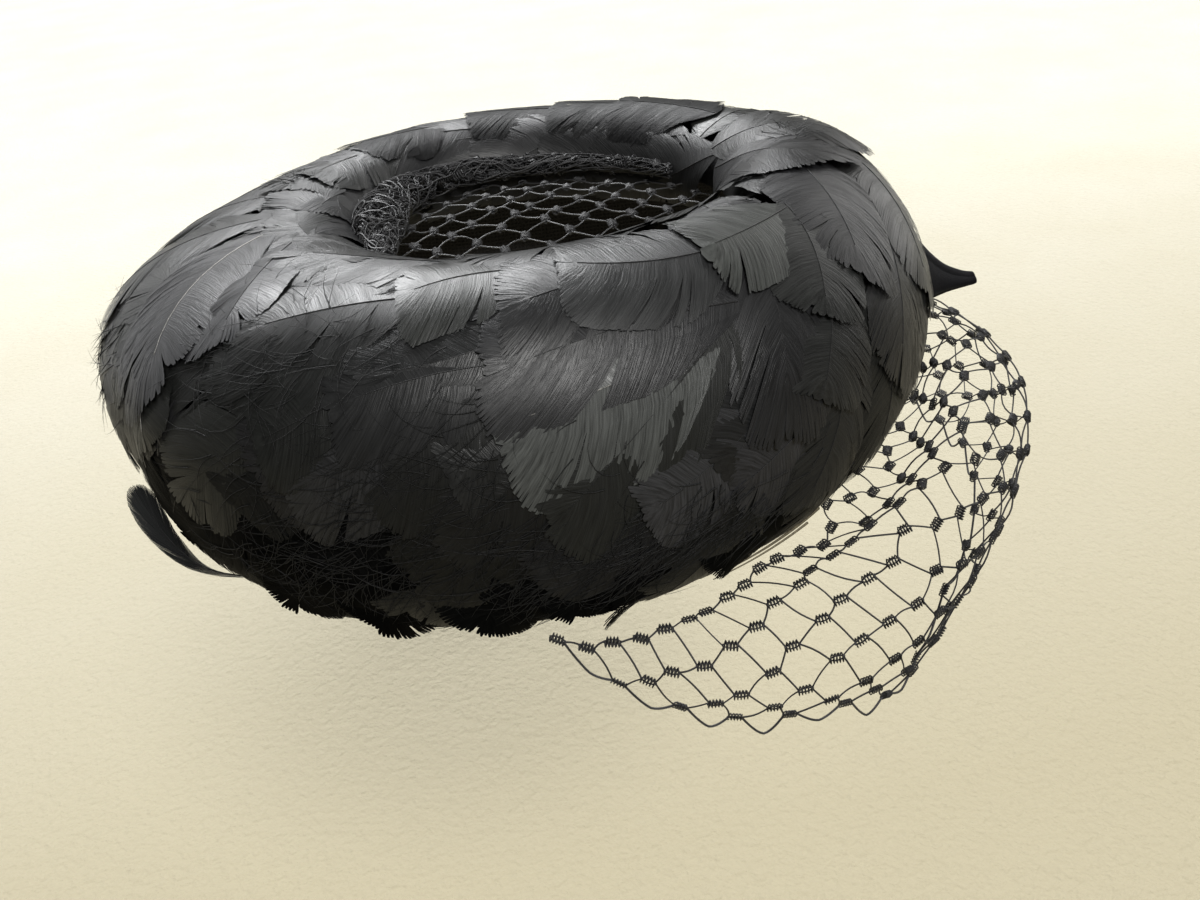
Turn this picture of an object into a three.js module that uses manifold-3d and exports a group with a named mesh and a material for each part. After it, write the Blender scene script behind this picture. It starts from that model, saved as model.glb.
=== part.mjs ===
import * as THREE from 'three';
import { mergeVertices } from 'three/addons/utils/BufferGeometryUtils.js';
import Module from 'manifold-3d';

const wasm = await Module();
wasm.setup();

// Millimetres. The front of the hat faces -Y, the wearer's left is +X, and the hem lies near z = 0.
// Each ring of the padded roll has its reach from the middle and its height at the front, sides and back.
const RINGS = {
  hem: { front: 76, side: 77, back: 75, frontZ: 9, sideZ: 3.5, backZ: -1 },
  bulge: { front: 99, side: 88, back: 98, frontZ: 35, sideZ: 35, backZ: 44 },
  crest: { front: 68, side: 58, back: 50, frontZ: 73, sideZ: 72, backZ: 70 },
  lip: { front: 52, side: 44, back: 36, frontZ: 60, sideZ: 60, backZ: 60 },
};
const GAP = 0.4;
const FOUNDATION_SINK = 7;
const FOUNDATION_WALL = 2;
const BACKING_SINK = 2.6;
const ROLL_TURNS = 28;
// How far the hem ring of a sunk layer moves in, as a part of its depth.
const HEM_TUCK = 0.4;
// Stations of the roll's section, counted 0 at the hem, 1 at the bulge, 2 at the crest and 3 at the lip.
const ROLL_PLACES = [0, 0.5, 1, 1.35, 1.7, 2, 2.5, 3];

// Rows of feathers on the roll: place of the quill ends, slant below the run of the ring in degrees,
// length and width of a feather, count round the ring, and the first one's shift, as a part of a step.
const FEATHER_ROWS = [
  { place: 0.7, slant: 8, length: 72, width: 40, count: 9, shift: 0.0 },
  { place: 1.32, slant: 12, length: 68, width: 36, count: 10, shift: 0.5 },
  { place: 2.02, slant: 8, length: 56, width: 26, count: 8, shift: 0.2 },
];
// Each quill end lies this far, in degrees, before the middle of its feather's share of the ring.
const FEATHER_LEAD = 14;
// Width of a feather along its length, as a part of its greatest width: broad, with a squarish tip.
const FEATHER_OUTLINE = [0.6, 0.95, 1, 0.66];
const FEATHER_ACROSS = [-1, 0, 1];
const FEATHER_BASE_SINK = 4.0;
const FEATHER_ROOT_SINK = 3.7;
const FEATHER_TIP_SINK = 0.9;
// The lower edge of each feather stands over its neighbour by this much, and the upper edge tucks in.
const FEATHER_EDGE_TILT = 0.7;
// Feathers keep this far, in places, from the hem and the lip.
const FEATHER_MARGIN = 0.03;
const WALK_STEPS = 6;
// The two halves of the roll meet at this x, where the right half's front end shows over the left one.
const PAD_SPLIT_X = 5;

// Broad feathers over the back: turn from the front and slant in degrees, length and width.
const BACK_FEATHERS = [
  { turn: -158, slant: 98, length: 46, width: 30 },
  { turn: -174, slant: 88, length: 50, width: 33 },
  { turn: 168, slant: 80, length: 46, width: 30 },
];
const BACK_FEATHER_PLACE = 2.2;
const BACK_FEATHER_CLEARANCE = 1.2;
const BACK_FEATHER_THICKNESS = 1.6;
const BACK_FEATHER_TIP_LIFT = 2.4;

// The curled loose feather: points of its quill, and the side to side size of its vane.
const LOOSE_QUILL = [
  new THREE.Vector3(-35, 67, -1.5),
  new THREE.Vector3(-37, 76, 0.5),
  new THREE.Vector3(-35.5, 85, 5),
  new THREE.Vector3(-29.5, 92, 12),
  new THREE.Vector3(-20, 97, 20),
];
const LOOSE_WIDTH = 7;
const LOOSE_THICKNESS = 1.2;
const LOOSE_CUP = 0.5;
const LOOSE_LEAN = -30;
const LOOSE_STEPS = 10;
// The vane's width follows this stretch of a half circle, so that both its ends are round.
const LOOSE_ROUND = { start: 0.06, span: 0.86 };

// The velvet point: stations from base to tip, each with the middle and half sizes of its section.
const POINT_STATIONS = [
  { y: -96.6, z: 33.5, halfWidth: 19, halfHeight: 15 },
  { y: -101, z: 33, halfWidth: 16.5, halfHeight: 13.4 },
  { y: -105, z: 31.5, halfWidth: 13, halfHeight: 10 },
  { y: -109, z: 29.5, halfWidth: 9.5, halfHeight: 6.8 },
  { y: -113.5, z: 27.8, halfWidth: 6.5, halfHeight: 3.9 },
  { y: -118.5, z: 26.6, halfWidth: 4, halfHeight: 2.2 },
  { y: -121.5, z: 26.2, halfWidth: 2.6, halfHeight: 1.7 },
];
const POINT_X = 3;
const POINT_WALL = 1.2;
const POINT_TIP = 0.4;
// How far the diamond section falls in between its corners, and the wall's greatest part of a half height.
const POINT_SOFTNESS = 0.14;
const POINT_THIN = 0.45;
const POINT_SIDES = 10;

// Lines of the face veil from its tuck under the hem to its free edge: reach beyond the hem, and height
// above it, both at full size. The veil ends at a turn on each side, gathered to a part of that size.
const VEIL_LINES = [
  { front: 1, side: 1, frontZ: -1, sideZ: -1 },
  { front: 20, side: 6, frontZ: -6, sideZ: -7 },
  { front: 36, side: 12, frontZ: 9, sideZ: -8 },
  { front: 51, side: 20, frontZ: -3, sideZ: -18 },
  { front: 47, side: 22, frontZ: -18, sideZ: -29 },
  { front: 36, side: 17, frontZ: -26, sideZ: -38 },
];
const VEIL_END = 97;
const VEIL_FULL = 56;
const VEIL_END_SIZE = 0.12;
const VEIL_CELLS = 17;
const VEIL_ROWS = 5;
const VEIL_STRAND = 2.2;
const VEIL_THICKNESS = 1.2;
// The free edge hangs lowest in a small flap halfway from the front to the right side.
const FLAP = { turn: -47, spread: 9, drop: 13, start: 0.7 };

const CROWN_RIM_Z = 57.6;
const CROWN_RISE = 5;
const CROWN_CELLS = 5;
const CROWN_ROWS = 5;
const CROWN_THICKNESS = 1.2;
const CROWN_STRAND = 2.0;
// The net's edge lies this far beyond the lip, and cells whose middle is near the edge are left out.
const CROWN_EDGE = 8;
const CROWN_KEEP = 0.93;
// A cell's top and bottom corners stand this part of its height beyond its side corners.
const CELL_PEAK = 0.17;
// However narrow a cell is, its strands take no more than this part of it from each side.
const CELL_INSET = 0.4;

// The gathered net along the lip: turn from the front, thickness of the bundle there.
const GATHER_STATIONS = [
  { turn: 22, radius: 1.6 },
  { turn: 45, radius: 1.9 },
  { turn: 70, radius: 2.4 },
  { turn: 95, radius: 3.0 },
  { turn: 120, radius: 3.7 },
  { turn: 145, radius: 4.6 },
  { turn: 170, radius: 5.0 },
  { turn: 192, radius: 4.2 },
  { turn: 210, radius: 2.2 },
];
const GATHER_Z = 61.5;
const GATHER_DEPTH = 0.12;
const GATHER_FLATNESS = 0.8;
const GATHER_SIDES = 7;
const GATHER_STEPS = 28;
const GATHER_CREASES = 11;
// How far the creases shift from one side of the section to the next, in radians.
const GATHER_TWIST = 2.4;

const QUARTER = Math.PI / 2;
const radians = (degrees) => THREE.MathUtils.degToRad(degrees);
const clamp01 = (value) => THREE.MathUtils.clamp(value, 0, 1);

const FINISHES = {
  black_feather: { color: 0x16171a, roughness: 0.5 },
  black_velvet: { color: 0x0c0c0d, roughness: 0.95 },
  black_net: { color: 0x141416, roughness: 0.55 },
  black_buckram: { color: 0x1b1a1a, roughness: 0.9 },
};

// Reach from the middle to an oval ring, at a turn from the front.
function ovalReach(turn, front, side, back) {
  const along = Math.cos(turn) > 0 ? front : back;
  return (along * side) / Math.hypot(side * Math.cos(turn), along * Math.sin(turn));
}

// A value that goes smoothly from the front or the back to the side.
function blendRound(turn, front, side, back) {
  const end = Math.cos(turn) > 0 ? front : back;
  return side + (end - side) * Math.cos(turn) ** 2;
}

function ringAt(name, turn) {
  const ring = RINGS[name];
  const reach = ovalReach(turn, ring.front, ring.side, ring.back);
  return { reach, z: blendRound(turn, ring.frontZ, ring.sideZ, ring.backZ) };
}

// Where a turn, a reach and a height are in space.
function polar(turn, reach, z) {
  return new THREE.Vector3(reach * Math.sin(turn), -reach * Math.cos(turn), z);
}

// A point of the roll. A sunk layer has its rings moved in from their extremes, which keeps its depth even.
function rollPoint(turn, place, sink) {
  const hem = ringAt('hem', turn);
  const bulge = ringAt('bulge', turn);
  const crest = ringAt('crest', turn);
  const lip = ringAt('lip', turn);
  hem.z += sink;
  hem.reach -= sink * HEM_TUCK;
  bulge.reach -= sink;
  crest.z -= sink;
  lip.reach += sink;
  if (place <= 1) {
    const angle = place * QUARTER;
    const reach = hem.reach + (bulge.reach - hem.reach) * Math.sin(angle);
    return polar(turn, reach, bulge.z + (hem.z - bulge.z) * Math.cos(angle));
  }
  if (place <= 2) {
    const angle = (place - 1) * QUARTER;
    const reach = crest.reach + (bulge.reach - crest.reach) * Math.cos(angle);
    return polar(turn, reach, bulge.z + (crest.z - bulge.z) * Math.sin(angle));
  }
  const angle = (place - 2) * QUARTER;
  const reach = crest.reach + (lip.reach - crest.reach) * Math.sin(angle);
  return polar(turn, reach, lip.z + (crest.z - lip.z) * Math.cos(angle));
}

// The triangles of a grid of points, counted row by row; a closed grid joins its last row to its first.
function gridTriangles(rows, columns, closed = false) {
  const triangles = [];
  const steps = closed ? rows : rows - 1;
  for (let row = 0; row < steps; row += 1) {
    const next = (row + 1) % rows;
    for (let column = 0; column < columns - 1; column += 1) {
      const corner = row * columns + column;
      const across = next * columns + column;
      triangles.push([corner, across, across + 1], [corner, across + 1, corner + 1]);
    }
  }
  return triangles;
}

// A closed geometry from two matching layers of points. The triangles join the outer layer and, turned
// over, the inner one, and each edge that only one triangle has gets a wall between the layers.
function layeredGeometry(outer, inner, triangles) {
  const depth = outer.length;
  const index = [];
  const openEdges = new Map();
  for (const [a, b, c] of triangles) {
    index.push(a, b, c, a + depth, c + depth, b + depth);
    for (const [start, end] of [[a, b], [b, c], [c, a]]) {
      if (!openEdges.delete(`${end} ${start}`)) openEdges.set(`${start} ${end}`, [start, end]);
    }
  }
  for (const [start, end] of openEdges.values()) {
    index.push(end, start, start + depth, end, start + depth, end + depth);
  }
  const positions = [...outer, ...inner].flatMap((point) => point.toArray());
  const geometry = new THREE.BufferGeometry();
  geometry.setAttribute('position', new THREE.Float32BufferAttribute(positions, 3));
  geometry.setIndex(index);
  return geometry;
}

function toSolid(geometry) {
  const merged = mergeVertices(geometry, 1e-4);
  const vertProperties = new Float32Array(merged.attributes.position.array);
  const triVerts = new Uint32Array(merged.index.array);
  return new wasm.Manifold(new wasm.Mesh({ numProp: 3, vertProperties, triVerts }));
}

function toGeometry(solid) {
  const mesh = solid.getMesh();
  const geometry = new THREE.BufferGeometry();
  geometry.setAttribute('position', new THREE.BufferAttribute(mesh.vertProperties, 3));
  geometry.setIndex(new THREE.BufferAttribute(mesh.triVerts, 1));
  return geometry;
}

// The outer shell of a union: it fills the small pockets that lie between fused feathers.
function outerShell(solid) {
  return solid.decompose().reduce((best, shell) => (shell.volume() > best.volume() ? shell : best));
}

function rollLayer(sink) {
  const points = [];
  for (let step = 0; step < ROLL_TURNS; step += 1) {
    const turn = (step / ROLL_TURNS) * 2 * Math.PI;
    for (const place of ROLL_PLACES) points.push(rollPoint(turn, place, sink));
  }
  return points;
}

// A shell of the whole roll between two depths, open below for the head and open above.
function rollShell(outerSink, innerSink) {
  const triangles = gridTriangles(ROLL_TURNS, ROLL_PLACES.length, true);
  return layeredGeometry(rollLayer(outerSink), rollLayer(innerSink), triangles);
}

// Walk over the roll from a start: a distance along a heading and one across it, in small steps.
// A heading of 0 runs round the ring to the start's own side, and one of 90 degrees runs down the section.
function walkRoll(start, heading, along, across, sink) {
  const tiny = 0.001;
  const round = (along * Math.cos(heading) - across * Math.sin(heading)) / WALK_STEPS;
  const down = (along * Math.sin(heading) + across * Math.cos(heading)) / WALK_STEPS;
  let { turn, place } = start;
  for (let step = 0; step < WALK_STEPS; step += 1) {
    const here = rollPoint(turn, place, 0);
    const turnLength = rollPoint(turn + tiny, place, 0).distanceTo(here) / tiny;
    const placeLength = rollPoint(turn, place + tiny, 0).distanceTo(here) / tiny;
    turn += (start.side * round) / turnLength;
    place = THREE.MathUtils.clamp(place - down / placeLength, FEATHER_MARGIN, 3 - FEATHER_MARGIN);
  }
  return rollPoint(turn, place, sink);
}

// One feather laid on the roll: its two faces each go from a depth at the root to one at the tip.
function featherGeometry(start, feather, upper, under) {
  const outer = [];
  const inner = [];
  const heading = radians(feather.slant);
  FEATHER_OUTLINE.forEach((part, station) => {
    const share = station / (FEATHER_OUTLINE.length - 1);
    const along = share * feather.length;
    for (const side of FEATHER_ACROSS) {
      const across = (side * part * feather.width) / 2;
      const tilt = side * share * FEATHER_EDGE_TILT;
      const upperSink = THREE.MathUtils.lerp(upper.root, upper.tip, share) - tilt;
      outer.push(walkRoll(start, heading, along, across, upperSink));
      const underSink = THREE.MathUtils.lerp(under.root, under.tip, share);
      inner.push(walkRoll(start, heading, along, across, underSink));
    }
  });
  const triangles = gridTriangles(FEATHER_OUTLINE.length, FEATHER_ACROSS.length);
  const facing = start.side > 0 ? triangles.map(([a, b, c]) => [a, c, b]) : triangles;
  return layeredGeometry(outer, inner, facing);
}

// The backing with its rows of feathers, fused and then cut into the right and the left half.
function featherPads() {
  let roll = toSolid(rollShell(BACKING_SINK, FOUNDATION_SINK - GAP));
  const upper = { root: FEATHER_ROOT_SINK, tip: FEATHER_TIP_SINK };
  const under = { root: FEATHER_BASE_SINK, tip: FEATHER_BASE_SINK };
  for (const row of FEATHER_ROWS) {
    for (let number = 0; number < row.count; number += 1) {
      const turn = ((number + 0.5 + row.shift) / row.count) * 2 * Math.PI;
      const side = Math.sin(turn) >= 0 ? 1 : -1;
      const start = { turn: turn - side * radians(FEATHER_LEAD), place: row.place, side };
      roll = roll.add(toSolid(featherGeometry(start, row, upper, under)));
    }
  }
  roll = outerShell(roll);
  const right = roll.trimByPlane([-1, 0, 0], GAP / 2 - PAD_SPLIT_X);
  const left = roll.trimByPlane([1, 0, 0], PAD_SPLIT_X + GAP / 2);
  return { right: toGeometry(right), left: toGeometry(left) };
}

function backFeathers() {
  const under = { root: -BACK_FEATHER_CLEARANCE, tip: -BACK_FEATHER_CLEARANCE - BACK_FEATHER_TIP_LIFT };
  const upper = { root: under.root - BACK_FEATHER_THICKNESS, tip: under.tip - BACK_FEATHER_THICKNESS };
  const solids = BACK_FEATHERS.map((feather) => {
    const start = { turn: radians(feather.turn), place: BACK_FEATHER_PLACE, side: 1 };
    return toSolid(featherGeometry(start, feather, upper, under));
  });
  return toGeometry(outerShell(wasm.Manifold.union(solids)));
}

// The loose feather: a narrow vane, cupped along its quill and rounded off at both ends.
function looseFeather() {
  const quill = new THREE.CatmullRomCurve3(LOOSE_QUILL);
  const outer = [];
  const inner = [];
  for (let step = 0; step <= LOOSE_STEPS; step += 1) {
    const share = step / LOOSE_STEPS;
    const middle = quill.getPoint(share);
    const along = quill.getTangent(share);
    const lift = new THREE.Vector3(0, 0, 1).applyAxisAngle(along, radians(LOOSE_LEAN));
    const across = new THREE.Vector3().crossVectors(lift, along).normalize();
    const face = new THREE.Vector3().crossVectors(along, across).normalize();
    const round = LOOSE_ROUND.start + LOOSE_ROUND.span * share;
    const halfWidth = (LOOSE_WIDTH / 2) * Math.sqrt(Math.sin(Math.PI * round));
    for (const side of [-1, 0, 1]) {
      const point = middle.clone().addScaledVector(across, side * halfWidth);
      const cup = side === 0 ? 0 : -LOOSE_CUP;
      outer.push(point.clone().addScaledVector(face, cup + LOOSE_THICKNESS / 2));
      inner.push(point.clone().addScaledVector(face, cup - LOOSE_THICKNESS / 2));
    }
  }
  return layeredGeometry(outer, inner, gridTriangles(LOOSE_STEPS + 1, 3));
}

// One layer of the velvet point, its section a soft diamond with a ridge above and below.
function velvetLayer(wall) {
  const points = [];
  for (const station of POINT_STATIONS) {
    const thin = Math.min(wall, station.halfHeight * POINT_THIN);
    for (let side = 0; side < POINT_SIDES; side += 1) {
      const angle = (side / POINT_SIDES) * 2 * Math.PI;
      const soft = 1 - POINT_SOFTNESS * (1 - Math.abs(Math.cos(2 * angle)));
      const x = POINT_X + (station.halfWidth - thin) * soft * Math.cos(angle);
      const z = station.z + (station.halfHeight - thin) * soft * Math.sin(angle);
      points.push(new THREE.Vector3(x, station.y, z));
    }
  }
  const tip = POINT_STATIONS.at(-1);
  points.push(new THREE.Vector3(POINT_X, tip.y - POINT_TIP + wall, tip.z));
  return points;
}

function velvetPoint() {
  const outer = velvetLayer(0);
  const inner = velvetLayer(POINT_WALL);
  const triangles = [];
  const rings = POINT_STATIONS.length;
  for (let ring = 0; ring < rings; ring += 1) {
    for (let side = 0; side < POINT_SIDES; side += 1) {
      const here = ring * POINT_SIDES + side;
      const beside = ring * POINT_SIDES + ((side + 1) % POINT_SIDES);
      if (ring === rings - 1) {
        triangles.push([here, beside, rings * POINT_SIDES]);
      } else {
        triangles.push([here, beside, beside + POINT_SIDES]);
        triangles.push([here, beside + POINT_SIDES, here + POINT_SIDES]);
      }
    }
  }
  return layeredGeometry(outer, inner, triangles);
}

// A point of the veil: side runs from -1 at its right end to 1 at its left one, drop from 0 at the hem.
function veilPoint(side, drop) {
  const turn = side * radians(VEIL_END);
  const ease = clamp01(((1 - Math.abs(side)) * VEIL_END) / (VEIL_END - VEIL_FULL));
  const size = VEIL_END_SIZE + (1 - VEIL_END_SIZE) * Math.sin(ease * QUARTER);
  const hem = ringAt('hem', turn);
  const line = VEIL_LINES.map((row) => {
    const reach = blendRound(turn, row.front, row.side, row.side);
    return new THREE.Vector2(reach, blendRound(turn, row.frontZ, row.sideZ, row.sideZ));
  });
  const spot = new THREE.SplineCurve(line).getPoint(drop);
  const start = line[0];
  const off = (side * VEIL_END - FLAP.turn) / FLAP.spread;
  const flap = FLAP.drop * Math.exp(-off * off) * clamp01((drop - FLAP.start) / (1 - FLAP.start));
  const reach = hem.reach + start.x + (spot.x - start.x) * size;
  return polar(turn, reach, hem.z + start.y + (spot.y - start.y) * size - flap);
}

// A net of six-sided cells, cut through, on a surface given by two shares from 0 to 1. Each row of cells
// runs along the first share, and each second row is shifted by half a cell. Two columns make a cell.
function netGeometry(surface, cells, rows, strand, thickness, keep) {
  const outer = [];
  const inner = [];
  const known = new Map();
  const tiny = 0.1;
  const spot = (column, line) => surface(column / (2 * cells + 1), clamp01(line / rows));
  const addPoint = (column, line) => {
    const key = `${column.toFixed(4)} ${line.toFixed(4)}`;
    if (known.has(key)) return known.get(key);
    const point = spot(column, line);
    const alongRow = spot(column + tiny, line).sub(spot(column - tiny, line));
    const acrossRows = spot(column, line + tiny).sub(spot(column, line - tiny));
    const normal = new THREE.Vector3().crossVectors(acrossRows, alongRow).normalize();
    outer.push(point.clone().addScaledVector(normal, thickness / 2));
    inner.push(point.clone().addScaledVector(normal, -thickness / 2));
    known.set(key, outer.length - 1);
    return outer.length - 1;
  };
  const lineAt = (column, line) => {
    const bent = line + ((column + line) % 2 === 0 ? CELL_PEAK : -CELL_PEAK);
    return THREE.MathUtils.clamp(bent, 0, rows);
  };
  const triangles = [];
  for (let row = 0; row < rows; row += 1) {
    for (let cell = 0; cell < cells; cell += 1) {
      const first = 2 * cell + (row % 2);
      const corners = [];
      for (const column of [first, first + 1, first + 2]) corners.push([column, lineAt(column, row)]);
      for (const column of [first + 2, first + 1, first]) corners.push([column, lineAt(column, row + 1)]);
      const middle = { column: first + 1, line: row + 0.5 };
      if (!keep(spot(middle.column, middle.line))) continue;
      const width = spot(first, middle.line).distanceTo(spot(first + 2, middle.line));
      const inset = Math.min(strand / width, CELL_INSET);
      const rim = corners.map(([column, line]) => addPoint(column, line));
      const hole = corners.map(([column, line]) => {
        const holeLine = THREE.MathUtils.lerp(line, middle.line, inset);
        return addPoint(THREE.MathUtils.lerp(column, middle.column, inset), holeLine);
      });
      for (let side = 0; side < 6; side += 1) {
        const next = (side + 1) % 6;
        triangles.push([rim[side], hole[next], rim[next]], [rim[side], hole[side], hole[next]]);
      }
    }
  }
  return layeredGeometry(outer, inner, triangles);
}

function faceVeil() {
  const surface = (u, v) => veilPoint(2 * u - 1, v);
  return netGeometry(surface, VEIL_CELLS, VEIL_ROWS, VEIL_STRAND, VEIL_THICKNESS, () => true);
}

// The crown net, laid over the opening as a low dome whose rim lies under the foundation's inner edge.
function crownNet() {
  const rim = (turn) => ringAt('lip', turn).reach + CROWN_EDGE;
  const front = rim(0);
  const back = rim(Math.PI);
  const side = rim(QUARTER);
  const surface = (u, v) => {
    const x = (2 * u - 1) * side;
    const y = -front + v * (front + back);
    const turn = Math.atan2(x, -y);
    const share = Math.hypot(x, y) / rim(turn);
    return new THREE.Vector3(x, y, CROWN_RIM_Z + CROWN_RISE * (1 - share * share));
  };
  const keep = ({ x, y }) => Math.hypot(x, y) < rim(Math.atan2(x, -y)) * CROWN_KEEP;
  return netGeometry(surface, CROWN_CELLS, CROWN_ROWS, CROWN_STRAND, CROWN_THICKNESS, keep);
}

// The gathered net: a roll of changing thickness, creased along its length, on the net beside the lip.
function netGather() {
  const stations = GATHER_STATIONS.map((station) => new THREE.Vector2(station.turn, station.radius));
  const radii = new THREE.SplineCurve(stations);
  const layer = [];
  for (let step = 0; step <= GATHER_STEPS; step += 1) {
    const spot = radii.getPoint(step / GATHER_STEPS);
    const turn = radians(spot.x);
    const radius = spot.y;
    const reach = ringAt('lip', turn).reach - GAP - radius * (1 + GATHER_DEPTH);
    for (let side = 0; side < GATHER_SIDES; side += 1) {
      const angle = (side / GATHER_SIDES) * 2 * Math.PI;
      const creased = radius * (1 + GATHER_DEPTH * Math.sin(GATHER_CREASES * turn + GATHER_TWIST * side));
      const z = GATHER_Z + radius + creased * GATHER_FLATNESS * Math.sin(angle);
      layer.push(polar(turn, reach + creased * Math.cos(angle), z));
    }
  }
  const index = [];
  for (let step = 0; step < GATHER_STEPS; step += 1) {
    for (let side = 0; side < GATHER_SIDES; side += 1) {
      const here = step * GATHER_SIDES + side;
      const beside = step * GATHER_SIDES + ((side + 1) % GATHER_SIDES);
      index.push(here, here + GATHER_SIDES, beside + GATHER_SIDES, here, beside + GATHER_SIDES, beside);
    }
  }
  const last = GATHER_STEPS * GATHER_SIDES;
  for (let side = 1; side < GATHER_SIDES - 1; side += 1) {
    index.push(0, side, side + 1, last, last + side + 1, last + side);
  }
  const positions = layer.flatMap((point) => point.toArray());
  const geometry = new THREE.BufferGeometry();
  geometry.setAttribute('position', new THREE.Float32BufferAttribute(positions, 3));
  geometry.setIndex(index);
  return geometry;
}

const fascinator = new THREE.Group();

function addPiece(name, geometry, finish) {
  geometry.computeVertexNormals();
  const material = new THREE.MeshStandardMaterial({ name: finish, metalness: 0, ...FINISHES[finish] });
  const piece = new THREE.Mesh(geometry, material);
  piece.name = name;
  fascinator.add(piece);
}

const pads = featherPads();
addPiece('foundation', rollShell(FOUNDATION_SINK, FOUNDATION_SINK + FOUNDATION_WALL), 'black_buckram');
addPiece('feather_pad_right', pads.right, 'black_feather');
addPiece('feather_pad_left', pads.left, 'black_feather');
addPiece('back_feathers', backFeathers(), 'black_feather');
addPiece('loose_feather', looseFeather(), 'black_feather');
addPiece('velvet_point', velvetPoint(), 'black_velvet');
addPiece('crown_net', crownNet(), 'black_net');
addPiece('net_gather', netGather(), 'black_net');
addPiece('face_veil', faceVeil(), 'black_net');

export default fascinator;
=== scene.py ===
import math
import random

import bpy
import numpy as np
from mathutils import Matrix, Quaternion, Vector


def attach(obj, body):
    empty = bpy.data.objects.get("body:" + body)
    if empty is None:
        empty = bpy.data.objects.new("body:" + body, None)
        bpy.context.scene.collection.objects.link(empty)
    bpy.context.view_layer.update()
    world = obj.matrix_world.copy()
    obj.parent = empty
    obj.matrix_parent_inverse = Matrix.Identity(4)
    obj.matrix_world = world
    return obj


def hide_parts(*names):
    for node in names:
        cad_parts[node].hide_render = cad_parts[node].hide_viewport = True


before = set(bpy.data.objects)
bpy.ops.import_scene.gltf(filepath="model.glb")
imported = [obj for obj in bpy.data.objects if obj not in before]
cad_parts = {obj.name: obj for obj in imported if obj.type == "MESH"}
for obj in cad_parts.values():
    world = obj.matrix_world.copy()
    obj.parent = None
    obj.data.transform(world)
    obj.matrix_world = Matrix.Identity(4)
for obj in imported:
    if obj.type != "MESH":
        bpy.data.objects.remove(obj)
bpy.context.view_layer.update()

# Camera, light and floor. The hat is seen from its right side and a little behind, from above, and
# hangs at the height at which it is worn. Soft light comes from above, over a pale cream floor.
CAMERA_PLACE = (-0.2910, 0.0191, 0.1597)
CAMERA_TARGET = (-0.0050, -0.0153, -0.0013)
CAMERA_ROLL = -6.76
CAMERA_LENS = 37.5
FLOOR_DROP = 0.26
FLOOR_SIZE = 9.0
FLOOR_COLOR = (0.218, 0.213, 0.188)
FLOOR_PATCH = (0.192, 0.183, 0.148)
# The floor's painted shade, on the side that the hat is seen from.
FLOOR_PAINTED_SHADE = (0.125, 0.112, 0.078)
WORLD_COLOR = (1.0, 0.985, 0.93)
WORLD_STRENGTH = 0.3
WARM_LIGHT = (1.0, 0.99, 0.97)
COOL_LIGHT = (0.98, 0.99, 1.0)


def aim(thing, place, target, roll=0.0):
    thing.location = place
    facing = (Vector(target) - Vector(place)).to_track_quat("-Z", "Y")
    turned = facing @ Quaternion((0, 0, 1), math.radians(roll))
    thing.rotation_euler = turned.to_euler()


def link(thing):
    bpy.context.scene.collection.objects.link(thing)
    return thing


def soft_light(name, place, spread, strength, color):
    """Even light from far off, as soft as the degrees of sky that it comes from."""
    lamp = bpy.data.lights.new(name, "SUN")
    lamp.angle = math.radians(spread)
    lamp.energy = strength
    lamp.color = color
    thing = link(bpy.data.objects.new(name, lamp))
    aim(thing, place, (0, 0, 0))


camera = link(bpy.data.objects.new("camera", bpy.data.cameras.new("camera")))
camera.data.lens = CAMERA_LENS
camera.data.clip_start = 0.01
aim(camera, CAMERA_PLACE, CAMERA_TARGET, CAMERA_ROLL)
bpy.context.scene.camera = camera

bpy.context.scene.view_settings.view_transform = "Standard"

soft_light("window", (-0.70, -0.12, 0.68), 24, 10.0, WARM_LIGHT)
soft_light("ceiling", (0.62, 0.10, 0.70), 34, 11.5, COOL_LIGHT)
soft_light("front_fill", (0.45, -0.80, 0.36), 50, 2.0, WARM_LIGHT)
soft_light("back_fill", (0.62, 0.66, 0.36), 50, 1.0, COOL_LIGHT)

world = bpy.data.worlds.new("room")
world.use_nodes = True
bpy.context.scene.world = world
world.node_tree.nodes["Background"].inputs["Color"].default_value = (*WORLD_COLOR, 1)
world.node_tree.nodes["Background"].inputs["Strength"].default_value = WORLD_STRENGTH


def new_material(name, **values):
    """A material with nodes and the values of its shader's sockets, whose names have _ for spaces."""
    material = bpy.data.materials.new(name)
    material.use_nodes = True
    shader = material.node_tree.nodes["Principled BSDF"]
    for socket, value in values.items():
        shader.inputs[socket.replace("_", " ")].default_value = value
    return material, shader


def add_node(material, kind, values=None, **settings):
    """A shader node with its own settings and the values of its sockets."""
    node = material.node_tree.nodes.new("ShaderNode" + kind)
    for setting, value in settings.items():
        setattr(node, setting, value)
    for socket, value in (values or {}).items():
        node.inputs[socket].default_value = value
    return node


def wire(material, *joins):
    """Joins sockets, each pair given as a node and its output, and a node and its input."""
    for start, output, stop, entry in joins:
        material.node_tree.links.new(start.outputs[output], stop.inputs[entry])


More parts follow.
